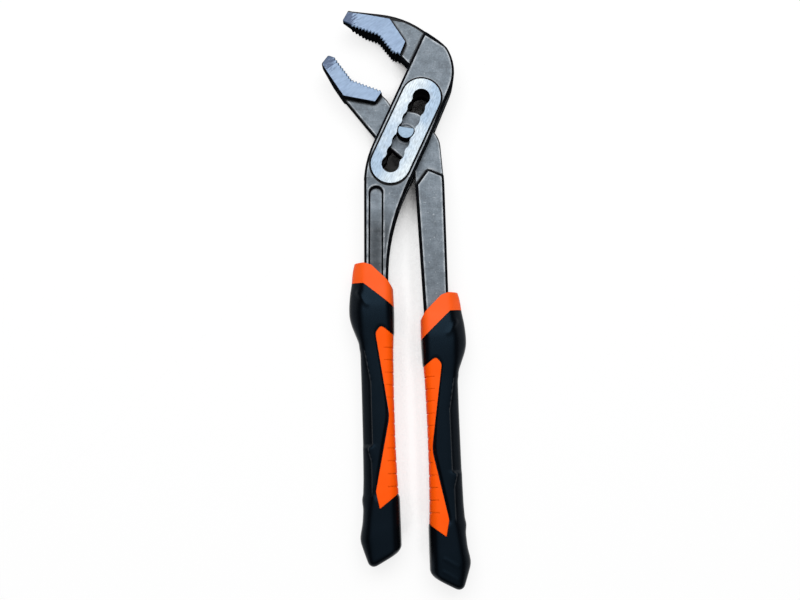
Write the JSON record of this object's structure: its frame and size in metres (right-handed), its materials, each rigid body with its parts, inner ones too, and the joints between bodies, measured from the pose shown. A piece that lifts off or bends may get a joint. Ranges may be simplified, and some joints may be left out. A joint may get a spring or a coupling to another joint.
{
  "type": "water pump pliers",
  "caption": "Adjustable box-joint water pump pliers with a notched slot, toothed jaws and soft moulded grips",
  "frame": {"origin": "on the pivot pin's axis, on its back end face, in the plane that the tool lies on", "axes": "+Y towards the jaws along the tool's length, +X towards the through arm's handle, +Z out of the front face"},
  "size_m": [0.0641, 0.253, 0.015],
  "materials": {
    "forged_steel": "satin",
    "pin_steel": "satin",
    "grip_orange": "matte",
    "grip_black": "matte"
  },
  "bodies": {
    "slotted_arm": {"slotted_arm": "forged_steel", "left_grip_sleeve": "grip_orange", "left_grip_cover": "grip_black"},
    "pivot_pin": {"pivot_pin": "pin_steel"},
    "through_arm": {"through_arm": "forged_steel", "right_grip_sleeve": "grip_orange", "right_grip_cover": "grip_black"}
  },
  "joints": [
    {"name": "notch_slide", "type": "slide", "parent": "slotted_arm", "child": "pivot_pin", "axis": [0.4099, 0.9121, 0], "range_m": [-0.0165, 0.0165]},
    {"name": "jaw_pivot", "type": "hinge", "parent": "pivot_pin", "child": "through_arm", "pos_m": [0, 0, 0.0075], "axis": [0, 0, 1], "range_deg": [0, 45]}
  ]
}
